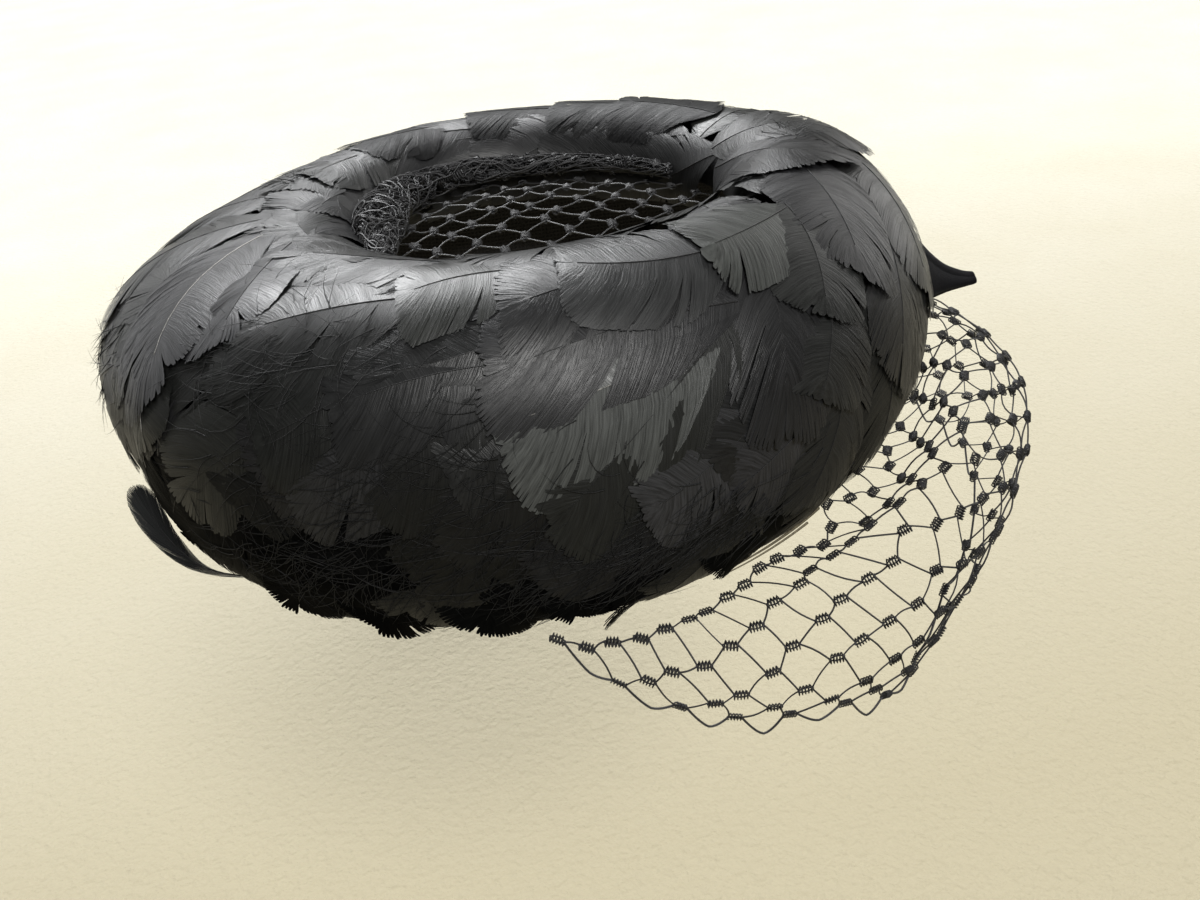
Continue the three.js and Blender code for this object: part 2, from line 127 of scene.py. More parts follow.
def floor_material():
    material, shader = new_material("pale_towelling", Roughness=0.95, Specular_IOR_Level=0.1)
    place = add_node(material, "TexCoord")
    loops = add_node(material, "TexNoise", {"Scale": 260, "Detail": 5})
    patches = add_node(material, "TexNoise", {"Scale": 9, "Detail": 4})
    tones = {"A": (*FLOOR_COLOR, 1), "B": (*FLOOR_PATCH, 1)}
    tone = add_node(material, "Mix", tones, data_type="RGBA")
    # Painted shade: the floor is darker on the side that the hat is seen from.
    parts = add_node(material, "SeparateXYZ")
    painted_shade_ramp = add_node(material, "MapRange", {"From Min": 1.1, "From Max": 0.1})
    shade = add_node(material, "Mix", {"B": (*FLOOR_PAINTED_SHADE, 1)}, data_type="RGBA")
    bump = add_node(material, "Bump", {"Strength": 0.7, "Distance": 0.003})
    wire(
        material,
        (place, "Object", loops, "Vector"),
        (place, "Object", patches, "Vector"),
        (patches, "Fac", tone, "Factor"),
        (place, "Object", parts, "Vector"),
        (parts, "X", painted_shade_ramp, "Value"),
        (painted_shade_ramp, "Result", shade, "Factor"),
        (tone, "Result", shade, "A"),
        (shade, "Result", shader, "Base Color"),
        (loops, "Fac", bump, "Height"),
        (bump, "Normal", shader, "Normal"),
    )
    return material


half = FLOOR_SIZE / 2
floor_mesh = bpy.data.meshes.new("floor")
floor_corners = [(-half, -half), (half, -half), (half, half), (-half, half)]
floor_mesh.from_pydata([(x, y, -FLOOR_DROP) for x, y in floor_corners], [], [(0, 1, 2, 3)])
floor_mesh.materials.append(floor_material())
floor = link(bpy.data.objects.new("floor", floor_mesh))

# Foundation: a ring-shaped roll of buckram, stiff woven cloth blocked to shape, hollow, and open below
# and above. Everything else is sewn or glued to it.
MM = 0.001
QUARTER = math.pi / 2
TINY = 1e-4
# Four rings round the hat, each with its reach and height at the front, the sides and the back.
RINGS = {
    "hem": {"reach": (76, 77, 75), "height": (9, 3.5, -1)},
    "bulge": {"reach": (99, 88, 98), "height": (35, 35, 44)},
    "crest": {"reach": (68, 58, 50), "height": (73, 72, 70)},
    "lip": {"reach": (52, 44, 36), "height": (60, 60, 60)},
}
HEM_TUCK = 0.4
FOUNDATION_SINK = 7
FOUNDATION_WALL = 2
FOUNDATION_TURNS = 180
FOUNDATION_PLACES = 48
BUCKRAM_COLOR = (0.016, 0.015, 0.015)
BUCKRAM_PITCH = 1.1


def ring_at(name, turn):
    """Reach and height of a ring at a turn from the front; a quarter turn is the wearer's left."""
    front, side, back = RINGS[name]["reach"]
    along = np.where(np.cos(turn) > 0, front, back)
    reach = along * side / np.hypot(side * np.cos(turn), along * np.sin(turn))
    front, side, back = RINGS[name]["height"]
    end = np.where(np.cos(turn) > 0, front, back)
    return reach, side + (end - side) * np.cos(turn) ** 2


def roll_point(turn, place, sink=0.0):
    """A point of the roll: place 0 is the hem, 1 the bulge, 2 the crest and 3 the lip."""
    turn, place = np.broadcast_arrays(turn, place)
    hem, hem_z = ring_at("hem", turn)
    bulge, bulge_z = ring_at("bulge", turn)
    crest, crest_z = ring_at("crest", turn)
    lip, lip_z = ring_at("lip", turn)
    hem, hem_z = hem - sink * HEM_TUCK, hem_z + sink
    bulge, crest_z, lip = bulge - sink, crest_z - sink, lip + sink
    low, high, inside = place * QUARTER, (place - 1) * QUARTER, (place - 2) * QUARTER
    reach = crest + (bulge - crest) * np.cos(high)
    reach = np.where(place > 2, crest + (lip - crest) * np.sin(inside), reach)
    reach = np.where(place < 1, hem + (bulge - hem) * np.sin(low), reach)
    z = bulge_z + (crest_z - bulge_z) * np.sin(high)
    z = np.where(place > 2, lip_z + (crest_z - lip_z) * np.cos(inside), z)
    z = np.where(place < 1, bulge_z + (hem_z - bulge_z) * np.cos(low), z)
    return np.stack([reach * np.sin(turn), -reach * np.cos(turn), z], axis=-1)


def grid_quads(blocks, rows, columns, closed=False):
    """Quads of some equal grids of points; closed joins each grid's last column to its first."""
    index = np.arange(blocks * rows * columns).reshape(blocks, rows, columns)
    here = index if closed else index[:, :, :-1]
    beside = np.roll(index, -1, axis=2) if closed else index[:, :, 1:]
    quads = np.stack([here[:, :-1], beside[:, :-1], beside[:, 1:], here[:, 1:]], axis=-1)
    return quads.reshape(-1, 4)


class Pile:
    """Many small things gathered into one mesh, in millimetres, each with marks, tint and roughness."""

    def __init__(self):
        self.points, self.quads, self.marks, self.tints, self.shade_copies = [], [], [], [], []
        self.count = 0

    # The last argument picks one of the piece's materials; for feathers these are a lit copy and painted
    # shade copies of one material.
    def add(self, points, quads, marks, tint, rough=0.5, finish=0):
        points = points.reshape(-1, 3)
        tint = (*tint, rough)
        self.points.append(points)
        self.quads.append(quads + self.count)
        self.marks.append(np.broadcast_to(marks, (len(points), 2)))
        self.tints.append(np.broadcast_to(tint, (len(points), 4)))
        self.shade_copies.append(np.full(len(quads), finish, dtype=np.int32))
        self.count += len(points)

    def make(self, name, materials, node_names):
        points = np.concatenate(self.points) * MM
        quads = np.concatenate(self.quads)
        marks = np.concatenate(self.marks)
        tints = np.concatenate(self.tints)
        mesh = bpy.data.meshes.new(name)
        mesh.vertices.add(len(points))
        mesh.vertices.foreach_set("co", points.ravel())
        mesh.loops.add(quads.size)
        mesh.loops.foreach_set("vertex_index", quads.ravel())
        mesh.polygons.add(len(quads))
        mesh.polygons.foreach_set("loop_start", np.arange(0, quads.size, 4))
        mesh.polygons.foreach_set("loop_total", np.full(len(quads), 4))
        mesh.update(calc_edges=True)
        mesh.shade_smooth()
        layer = mesh.uv_layers.new(name="marks")
        layer.data.foreach_set("uv", marks[quads.ravel()].ravel())
        colors = mesh.color_attributes.new("tint", "FLOAT_COLOR", "POINT")
        colors.data.foreach_set("color", tints.ravel())
        for material in materials:
            mesh.materials.append(material)
        mesh.polygons.foreach_set("material_index", np.concatenate(self.shade_copies))
        piece = link(bpy.data.objects.new(name, mesh))
        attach(piece, "root")
        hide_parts(*node_names)
        return piece


def woven_material(name, color, pitch, roughness):
    """Threads crossing over and under, from marks that measure millimetres along the cloth."""
    material, shader = new_material(name, Roughness=roughness, Specular_IOR_Level=0.3)
    marks = add_node(material, "UVMap", uv_map="marks")
    waves = {"Scale": 0.314 / pitch, "Distortion": 0.6}
    weft, warp = (add_node(material, "TexWave", waves, bands_direction=way) for way in ("X", "Y"))
    cross = add_node(material, "Math", operation="MAXIMUM")
    tones = {"A": (*[part * 0.35 for part in color], 1), "B": (*color, 1)}
    tone = add_node(material, "Mix", tones, data_type="RGBA")
    bump = add_node(material, "Bump", {"Strength": 0.7, "Distance": 0.0003})
    wire(
        material,
        (marks, "UV", weft, "Vector"),
        (marks, "UV", warp, "Vector"),
        (weft, "Fac", cross, 0),
        (warp, "Fac", cross, 1),
        (cross, "Value", tone, "Factor"),
        (tone, "Result", shader, "Base Color"),
        (cross, "Value", bump, "Height"),
        (bump, "Normal", shader, "Normal"),
    )
    return material


foundation_pile = Pile()
turns = np.linspace(0, 2 * math.pi, FOUNDATION_TURNS, endpoint=False)
places = np.linspace(0, 3, FOUNDATION_PLACES)
outside = roll_point(turns[None, :], places[:, None], FOUNDATION_SINK)
inside = roll_point(turns[None, :], places[:, None], FOUNDATION_SINK + FOUNDATION_WALL)[::-1]
wall = np.concatenate([outside, inside, outside[:1]])
steps = np.linalg.norm(np.diff(wall, axis=0), axis=-1)
down = np.concatenate([np.zeros((1, FOUNDATION_TURNS)), np.cumsum(steps, axis=0)])
round_mm = np.broadcast_to(turns[None, :] * RINGS["hem"]["reach"][1], down.shape)
foundation_marks = np.stack([round_mm, down], axis=-1).reshape(-1, 2)
wall_quads = grid_quads(1, len(wall), FOUNDATION_TURNS, closed=True)
foundation_pile.add(wall, wall_quads, foundation_marks, BUCKRAM_COLOR)
foundation = foundation_pile.make(
    "foundation_cloth",
    [woven_material("black_buckram", BUCKRAM_COLOR, BUCKRAM_PITCH, 0.85)],
    ["foundation"],
)

# Right feather pad: dyed feathers glued in rows over the right half of the roll, from the front to the
# back, tips lying over the roots of the next. Each has a thin shaft and a vane of fine barbs.
BARB_LOCKS = 60
BARB_STATIONS = np.array([0, 0.3, 0.6, 0.85, 1.0])
# The width of a lock of barbs at its stations, as a part of its share of the shaft.
BARB_WIDTHS = np.array([1.15, 1.15, 1.1, 1.05, 1.0])
SHAFT_PART = 0.84
# Where along a feather its vane starts to narrow to its end, and where a curled one starts to rise.
FAN_START = 0.7
CURL_START, CURL_SPAN = 0.7, 0.3
FEATHER_BLACK = (0.0026, 0.0027, 0.0027)
SHAFT_DARK = (0.004, 0.004, 0.004)
SHAFT_PALE = (0.10, 0.097, 0.09)
QUILL_BROWN = (0.05, 0.043, 0.028)
SHAFT_SIDES = 4
SHAFT_STEPS = 12
SHAFT_THICK = 0.15
SHAFT_THIN = 0.05
BACKING_SINK = 2.6
PAD_SPLIT_X = 5
SIDE_STEPS = 4
PLACE_LIMITS = (-0.35, 3.3)
WISP_RADIUS = 0.13


def roll_pace(turn, place):
    """How many millimetres the roll goes by for one radian of turn, and for one place."""
    here = roll_point(turn, place)
    turn_mm = np.linalg.norm(roll_point(turn + TINY, place) - here, axis=-1) / TINY
    place_mm = np.linalg.norm(roll_point(turn, place + TINY) - here, axis=-1) / TINY
    return turn_mm, place_mm


def unit(vectors):
    return vectors / np.linalg.norm(vectors, axis=-1, keepdims=True)


def roll_normal(turn, place):
    round_step = roll_point(turn + TINY, place) - roll_point(turn - TINY, place)
    up_step = roll_point(turn, place + TINY) - roll_point(turn, place - TINY)
    return unit(np.cross(round_step, up_step))


def path_length(points):
    return float(np.linalg.norm(np.diff(points, axis=0), axis=-1).sum())


class OnRoll:
    """The place of a feather that lies on the roll from its root to its tip, bowed to one side."""

    def __init__(self, root, tip, bow=0.0):
        self.turn, self.place = math.radians(root[0]), root[1]
        self.turn_gain, self.place_gain = math.radians(tip[0] - root[0]), tip[1] - root[1]
        self.bow = bow
        shares = np.linspace(0, 1, 13)
        self.length = path_length(self.lay(shares, shares * 0, shares * 0))

    def lay(self, along, across, lift):
        turn = self.turn + self.turn_gain * along
        place = self.place + self.place_gain * along
        turn_mm, place_mm = roll_pace(turn, place)
        go_turn, go_place = self.turn_gain * turn_mm, self.place_gain * place_mm
        size = np.hypot(go_turn, go_place)
        step = (across + self.bow * 4 * along * (1 - along)) / size / SIDE_STEPS
        for _ in range(SIDE_STEPS):
            turn = turn - step * go_place / turn_mm
            place = np.clip(place + step * go_turn / place_mm, *PLACE_LIMITS)
            turn_mm, place_mm = roll_pace(turn, place)
        return roll_point(turn, place) + roll_normal(turn, place) * lift[..., None]


def tubes(pile, paths, radii, sides, facing, tint, rough=0.5):
    """Round threads along paths of equal count: paths is (threads, points, 3), facing not along them."""
    along = unit(np.gradient(paths, axis=1))
    across = unit(np.cross(along, facing))
    out = np.cross(across, along)
    angles = np.arange(sides) * 2 * math.pi / sides
    ring = across[:, :, None] * np.cos(angles)[:, None] + out[:, :, None] * np.sin(angles)[:, None]
    skin = paths[:, :, None] + ring * np.asarray(radii)[..., None, None]
    count, steps = paths.shape[:2]
    lengths = np.linalg.norm(np.diff(paths, axis=1), axis=-1)
    down = np.concatenate([np.zeros((count, 1)), np.cumsum(lengths, axis=1)], axis=1)
    marks = np.stack(np.broadcast_arrays(down[:, :, None], angles[None, None]), axis=-1)
    pile.add(skin, grid_quads(count, steps, sides, closed=True), marks.reshape(-1, 2), tint, rough)


def feather_half(pile, spot, side, width, shape, dice):
    """One side of a vane: locks of barbs that leave the shaft, lean to the tip and end unevenly."""
    length = spot.length
    edges = shape["bare"] + (1 - shape["bare"]) * np.linspace(0, 1, BARB_LOCKS + 1)
    leave = np.stack([edges[:-1], edges[1:]], axis=1)
    # The outline: full width over the middle, a broad blunt end, narrower at the downy base.
    fan = np.clip((leave - FAN_START) / 0.3, 0, 1)
    swell = np.clip((leave - shape["bare"]) / 0.35, 0, 1)
    half_width = width / 2 * (0.5 + 0.5 * np.sin(swell * QUARTER)) * np.cos(fan * QUARTER) ** shape["blunt"]
    root = SHAFT_PART * leave
    low_part = np.minimum(leave, FAN_START)
    side_reach = SHAFT_PART * low_part + 0.12 + 0.1 * np.minimum(leave / FAN_START, 1)
    reach = side_reach + (1 - SHAFT_PART * FAN_START - 0.22) * np.sin(fan * QUARTER) ** 0.8
    # Between two splits the barbs cling together, lean as one and close up towards their middle.
    seed = np.random.default_rng(dice.randrange(1 << 30))
    splits = sorted(dice.randrange(3, BARB_LOCKS - 2) for _ in range(shape["splits"]))
    lean = np.zeros(BARB_LOCKS)
    for first, last in zip([0, *splits], [*splits, BARB_LOCKS]):
        order = np.arange(first, last)
        close_up = ((first + last) / 2 - order) * shape["clump"] / BARB_LOCKS
        lean[order] = dice.uniform(-0.022, 0.022) + close_up
    uneven = 1 + shape["ragged"] * seed.normal(0, 1, BARB_LOCKS) * (0.6 + 1.6 * fan.mean(axis=1))
    stray = seed.random(BARB_LOCKS) < shape["stray"]
    uneven = np.where(stray, uneven * seed.uniform(0.7, 1.08, BARB_LOCKS), uneven)
    v = BARB_STATIONS
    go = (reach - root)[..., None] * uneven[:, None, None] + lean[:, None, None] * v
    along = root[..., None] + go * v ** 1.25
    across = side * half_width[..., None] * v ** 0.9 * uneven[:, None, None]
    narrow = 1 - (0.1 + 0.45 * fan.mean(axis=1))[:, None, None] * (v == 1)
    for part in (along, across):
        middle = part.mean(axis=1, keepdims=True)
        part[:] = middle + (part - middle) * BARB_WIDTHS * narrow
    spread = np.abs(across) / (width / 2)
    lift = shape["low"] + (shape["high"] - shape["low"]) * np.clip(along, 0, 1.1) ** 0.85
    lift = lift + shape["curl"] * np.clip(along - CURL_START, 0, 1) ** 2 / CURL_SPAN ** 2
    lift = lift - shape["cup"] * spread ** 2 + shape["tilt"] * across / (width / 2)
    waves = np.interp(np.arange(BARB_LOCKS), np.linspace(0, BARB_LOCKS, 9), seed.normal(0, 1, 9))
    ruffle = shape["wave"] * waves + shape["ruffle"] * seed.normal(0, 1, BARB_LOCKS)
    lift = lift + ruffle[:, None, None] * v
    points = spot.lay(along, across, lift)
    marks = np.stack(np.broadcast_arrays(leave[..., None] * length, v * width / 2), axis=-1)
    quads = grid_quads(BARB_LOCKS, 2, len(v))
    quads = quads if side < 0 else quads[:, ::-1]
    pile.add(points, quads, marks.reshape(-1, 2), shape["tint"], shape["rough"], shape["finish"])


def feather_shaft(pile, spot, shape):
    along = np.linspace(0.06, SHAFT_PART, SHAFT_STEPS)
    lift = shape["low"] + (shape["high"] - shape["low"]) * along ** 0.85 + 0.06
    lift = lift + shape["curl"] * np.clip(along - CURL_START, 0, 1) ** 2 / CURL_SPAN ** 2
    path = spot.lay(along, along * 0, lift)[None]
    radii = np.linspace(SHAFT_THICK, SHAFT_THIN, SHAFT_STEPS)
    facing = path[0, -1] - path[0, 0]
    facing = np.cross(facing, np.cross(facing, path[0, 0])) + 1e-3
    tubes(pile, path, radii, SHAFT_SIDES, facing, shape["shaft"])


FEATHER_SHAPE = {
    "bare": 0.05, "blunt": 0.5, "splits": 2, "clump": 0.16, "ragged": 0.014, "stray": 0.03, "low": 0.2,
    "high": 2.2, "curl": 0.0, "cup": 0.7, "tilt": 0.25, "wave": 0.22, "ruffle": 0.035,
    "tint": FEATHER_BLACK, "shaft": SHAFT_DARK, "rough": 0.45, "finish": 0,
}


def add_feather(pile, spot, width, dice, **changes):
    shape = {**FEATHER_SHAPE, **changes}
    for side in (-1, 1):
        feather_half(pile, spot, side, width, shape, dice)
    feather_shaft(pile, spot, shape)


def black_shade(dice, light=1.0):
    """Dyed feathers differ a little, some greener and some bluer; the light given scales the colour by its
    square, as painted shade below 1 and painted light above it.
    """
    gain = light ** 2 * dice.uniform(0.6, 1.5)
    cast = dice.uniform(-0.06, 0.06)
    red, green, blue = FEATHER_BLACK
    return (red * gain, green * gain * (1 + cast / 2), blue * gain * (1 - cast))


def walk(start, heading, distance):
    """Over the roll from (degrees, place): heading 0 goes round to the back, 90 down to the hem."""
    turn, place = math.radians(start[0]), start[1]
    side = 1 if turn > 0 else -1
    steps = 8
    for _ in range(steps):
        here = roll_point(turn, place)
        turn_mm = float(np.linalg.norm(roll_point(turn + TINY, place) - here)) / TINY
        place_mm = float(np.linalg.norm(roll_point(turn, place + TINY) - here)) / TINY
        turn += side * distance / steps * math.cos(math.radians(heading)) / turn_mm
        place -= distance / steps * math.sin(math.radians(heading)) / place_mm
        place = min(max(place, -0.12), 3.1)
    return math.degrees(turn), place


def table(columns, *rows):
    """The rows of a table by the names of its columns."""
    return [dict(zip(columns.split(), row)) for row in rows]


# Rows of feathers from the hem up: where the roots lie on the section, how the feathers lie from the
# way round to the back (0) to straight down (90) at the front, the side and the back, their sizes, their
# painted light and shade (light: darker low on the roll, lighter high up) and how rough they look.
FEATHER_BANDS = table(
    "place front_place front side back length width gap lift light rough",
    (0.5, 0.5, 88, 48, 60, 42, 26, 15, 0.0, 0.35, 0.5),
    (0.85, 0.85, 86, 42, 62, 50, 27, 16, 0.3, 0.45, 0.48),
    (1.2, 1.2, 84, 34, 62, 55, 27, 17, 0.6, 0.8, 0.45),
    (1.55, 1.6, 82, 24, 56, 58, 27, 18, 0.9, 1.0, 0.45),
    (1.86, 2.5, 80, 12, 46, 58, 26, 17, 1.0, 1.1, 0.4),
    (2.85, 2.85, -30, -4, -10, 42, 17, 16, 0.1, 0.8, 0.5),
    (2.35, 2.5, -20, 0, 8, 50, 21, 16, 1.5, 1.1, 0.42),
)


# Turns where the front's way of lying ends and the back's begins, and the degrees that each change takes.
FRONT_TURN, FRONT_CHANGE = 38, 24
BACK_TURN, BACK_CHANGE = 130, 30
HEADING_RANGE = 12
BOW_RANGE = 5
SIZE_RANGE = (0.88, 1.12)
# The feathers above the hem at the back right get the painted shade higher up the roll too.
PAINTED_SHADE_TURNS = (98, 160)


def front_share(turn):
    """1 away from the front, 0 where the feathers run down over the front."""
    return min(max((abs(turn) - FRONT_TURN) / FRONT_CHANGE, 0), 1)


def band_heading(band, turn):
    """Full front heading near the front, then the side's, then the back's towards the back."""
    back_share = min(max((abs(turn) - BACK_TURN) / BACK_CHANGE, 0), 1)
    heading = band["front"] + (band["side"] - band["front"]) * front_share(turn)
    return heading + (band["back"] - band["side"]) * back_share


def feather_bands(pile, side, seed):
    """All rows on one half of the roll, from the back of the hat to its front."""
    dice = random.Random(seed)
    for band in FEATHER_BANDS:
        reach = float(np.linalg.norm(roll_point(QUARTER, band["place"])[:2]))
        step = math.degrees(band["gap"] / reach)
        turn = 178.0
        while turn > 2:
            place = band["front_place"] + (band["place"] - band["front_place"]) * front_share(turn)
            root = (side * (turn + dice.uniform(-2, 2)), place + dice.uniform(-0.07, 0.07))
            heading = band_heading(band, turn) + dice.uniform(-HEADING_RANGE, HEADING_RANGE)
            length = band["length"] * dice.uniform(*SIZE_RANGE)
            tip = walk(root, heading, length)
            spot = OnRoll(root, tip, dice.uniform(-BOW_RANGE, BOW_RANGE))
            low = 0.1 + band["lift"]
            # Low rows, higher at the back right, get a darker tint and the dull copy of the material:
            # painted shade.
            back_right = side < 0 and PAINTED_SHADE_TURNS[0] < turn < PAINTED_SHADE_TURNS[1]
            in_painted_shade = band["place"] < (1.5 if back_right else 1)
            add_feather(
                pile, spot, band["width"] * dice.uniform(*SIZE_RANGE), dice,
                low=low, high=low + 1.3, tilt=-side * 0.25,
                tint=black_shade(dice, band["light"] * (0.6 if in_painted_shade else 1)),
                blunt=dice.uniform(0.5, 1.0), splits=dice.randrange(1, 4),
                rough=band["rough"] + dice.uniform(-0.06, 0.06), finish=int(in_painted_shade),
            )
            turn -= step * dice.uniform(0.85, 1.15)


def feather_backing(pile, side):
    """The layer below the feathers, cut off in the middle of the hat: painted shade low down (darker, dull
    copy), painted light above, like a lit vane.
    """
    turns = np.linspace(-0.06, math.pi + 0.06, 90)
    for first, last, shade, finish in ((0, 1.2, 0.6, 1), (1.2, 3, 1.6, 0)):
        places = np.linspace(first, last, 16)
        points = roll_point(side * turns[None, :], places[:, None], BACKING_SINK)
        points[..., 0] = side * np.maximum(side * points[..., 0], side * PAD_SPLIT_X)
        marks = np.stack(np.broadcast_arrays(turns[None, :] * 80, places[:, None] * 40), axis=-1)
        quads = grid_quads(1, len(places), len(turns))
        quads = quads if side > 0 else quads[:, ::-1]
        pile.add(points, quads, marks.reshape(-1, 2), np.array(FEATHER_BLACK) * shade, 0.6, finish=finish)


def add_wisps(pile, rows, seed):
    """Loose barbs that stand off the roll in tufts, each a fine tapering thread."""
    dice = np.random.default_rng(seed)
    share = np.linspace(0, 1, 7)[None, :]
    for row in rows:
        count = row["count"]
        turn = np.radians(row["spot"][0] + row["spread"] * dice.normal(0, 1, count))[:, None]
        place = (row["spot"][1] + row["spread"] / 70 * dice.normal(0, 1, count))[:, None]
        heading = np.radians(row["heading"] + row["fan"] * dice.normal(0, 1, count))[:, None]
        heading = heading + dice.normal(0, 0.5, count)[:, None] * share
        length = row["length"] * dice.uniform(0.5, 1.2, count)[:, None] * share
        turn_mm, place_mm = roll_pace(turn, place)
        turn = turn + np.sign(turn) * length * np.cos(heading) / turn_mm
        place = np.clip(place - length * np.sin(heading) / place_mm, *PLACE_LIMITS)
        out = roll_normal(turn, place)
        lift = row["low"] + row["rise"] * dice.uniform(0.2, 1.2, count)[:, None] * share ** 1.4
        path = roll_point(turn, place) + out * lift[..., None]
        tubes(pile, path, WISP_RADIUS * (1.1 - share), 3, out + 1e-3, FEATHER_BLACK, 0.6)


def feather_material(name, shine):
    """Barbs: fine streaks across the vane, with more or less of a soft charcoal shine."""
    material, shader = new_material(name, Specular_IOR_Level=shine)
    marks = add_node(material, "UVMap", uv_map="marks")
    tint = add_node(material, "Attribute", attribute_name="tint")
    stretch = add_node(material, "Mapping", {"Scale": (2.2, 0.12, 1)})
    barbs = add_node(material, "TexNoise", {"Scale": 1.0, "Detail": 3, "Roughness": 0.65})
    clumps = add_node(material, "Mapping", {"Scale": (0.35, 0.06, 1)})
    patches = add_node(material, "TexNoise", {"Scale": 1.0})
    middle = {"From Min": 0.3, "From Max": 0.7}
    streaks = add_node(material, "MapRange", {**middle, "To Min": 0.4, "To Max": 1.6})
    tone = add_node(material, "Mix", {"Factor": 1.0}, data_type="RGBA", blend_type="MULTIPLY")
    gloss = add_node(material, "MapRange", {**middle, "To Min": -0.08, "To Max": 0.08})
    rough = add_node(material, "Math", operation="ADD")
    bump = add_node(material, "Bump", {"Strength": 0.5, "Distance": 0.00025})
    wire(
        material,
        (marks, "UV", stretch, "Vector"),
        (marks, "UV", clumps, "Vector"),
        (stretch, "Vector", barbs, "Vector"),
        (clumps, "Vector", patches, "Vector"),
        (barbs, "Fac", streaks, "Value"),
        (tint, "Color", tone, "A"),
        (streaks, "Result", tone, "B"),
        (tone, "Result", shader, "Base Color"),
        (patches, "Fac", gloss, "Value"),
        (gloss, "Result", rough, 0),
        (tint, "Alpha", rough, 1),
        (rough, "Value", shader, "Roughness"),
        (barbs, "Fac", bump, "Height"),
        (bump, "Normal", shader, "Normal"),
    )
    return material


# Lit and shaded copies of one feather material: satin; a dull copy, painted shade low on the roll; and a
# half-dull copy, painted shade on the far crest.
FEATHER_SHADE_COPIES = [
    feather_material("satin_feather", 0.10),
    feather_material("shaded_feather", 0.005),
    feather_material("half_shaded_feather", 0.04),
]
# Leading feathers below the first lightness take the dull painted shade copy, and below the second the
# half-dull one.
PAINTED_SHADE_BELOW, PAINTED_HALF_SHADE_BELOW = 0.65, 0.8

# The leading feathers of the right side, which show whole: root and tip by turn and place, size, how far
# the shaft bows to the lower side, lift above the rows, lightness as painted light and shade, and
# whether the shaft is pale.
LEADING_FEATHERS = table(
    "root tip width bow lift light pale",
    ((-82, 0.80), (-95, 0.36), 24, 0, 1.5, 0.5, 0),
    ((-92, 1.02), (-108, 0.65), 26, 0, 1.6, 0.6, 0),
    ((-108, 1.12), (-124, 0.71), 24, 0, 1.8, 0.6, 0),
    ((-122, 1.30), (-136, 0.92), 24, 0, 2.0, 0.7, 0),
    ((-72, 0.80), (-87, 0.52), 24, 0, 1.5, 0.6, 0),
    ((-56, 1.30), (-72, 0.98), 28, 0, 1.5, 0.9, 0),
    ((-46, 1.28), (-57, 0.66), 26, 0, 1.8, 0.8, 0),
    ((-40, 1.02), (-42, 0.40), 26, 0, 1.6, 0.6, 0),
    ((-52, 1.12), (-70, 0.88), 26, 0, 1.7, 1.3, 0),
    ((-64, 1.14), (-83, 0.90), 26, 0, 2.0, 1.7, 0),
    ((-66, 1.46), (-100, 1.30), 38, 0, 2.3, 2.5, 1),
    ((-90, 1.30), (-106, 1.14), 24, 0, 2.0, 1.1, 0),
    ((-96, 1.36), (-127, 1.04), 28, -3, 2.3, 1.2, 0),
    ((-93, 1.50), (-121, 1.35), 25, -3, 2.6, 1.1, 0),
    ((-113, 1.50), (-131, 1.20), 22, 0, 2.7, 1.1, 0),
    ((-111, 1.64), (-140, 1.50), 20, 3, 2.8, 1.0, 0),
    ((-60, 1.52), (-102, 1.44), 26, -4, 2.7, 1.1, 0),
    ((-61, 1.70), (-98, 1.68), 28, -4, 2.9, 1.2, 0),
    ((-107, 1.80), (-139, 1.55), 24, -3, 3.0, 1.1, 0),
    ((-90, 1.90), (-114, 1.76), 24, -3, 3.1, 1.3, 0),
    ((-100, 2.05), (-150, 1.92), 24, -3, 3.0, 1.1, 0),
    ((-56, 1.76), (-88, 1.90), 28, 2, 3.2, 1.5, 0),
    ((-46, 1.50), (-56, 1.10), 26, 0, 2.5, 1.3, 0),
    ((-40, 1.80), (-64, 1.76), 24, 0, 3.2, 1.8, 0),
    ((-40, 1.85), (-52, 1.34), 24, 0, 3.2, 1.4, 0),
    ((-26, 1.50), (-34, 0.80), 26, -3, 2.3, 1.0, 0),
    ((-16, 1.75), (-40, 0.95), 26, -5, 2.6, 1.1, 0),
    ((-16, 2.00), (-42, 1.38), 26, -5, 3.1, 1.3, 0),
    ((-4, 1.80), (-26, 1.10), 28, -5, 2.9, 1.1, 0),
    ((2, 2.70), (-22, 1.72), 30, -4, 3.6, 1.3, 0),
    ((9, 2.60), (-3, 1.50), 30, -3, 3.9, 1.1, 0),
    ((-12, 1.75), (-18, 0.95), 28, -2, 2.0, 1.0, 0),
)
LEADING_LIFT = 1.2
HEM_QUILLS = table(
    "root tip lift radius",
    ((-47, 0.20), (-66, 0.10), 2.6, 0.45),
    ((-49, 0.14), (-64, 0.06), 2.2, 0.35),
    ((-52, 0.26), (-70, 0.14), 2.8, 0.3),
)
RIGHT_WISPS = table(
    "spot spread count length heading fan low rise",
    ((-112, 1.15), 11, 190, 15, 28, 20, 2.2, 0.8),
    ((-124, 0.75), 9, 150, 15, 48, 24, 1.9, 0.8),
    ((-98, 0.85), 10, 170, 15, 38, 20, 1.9, 0.8),
    ((-84, 0.70), 9, 150, 14, 36, 18, 1.8, 0.7),
    ((-68, 0.75), 8, 110, 13, 40, 18, 1.8, 0.7),
    ((-128, 1.55), 7, 150, 14, 25, 45, 2.2, 3),
    ((-172, 1.15), 6, 50, 8, 60, 40, 1.5, 3),
    ((-6, 2.0), 2.0, 26, 5, 100, 50, 2.6, 3),
    ((-100, 0.4), 12, 70, 8, 50, 25, 0.8, 2),
)
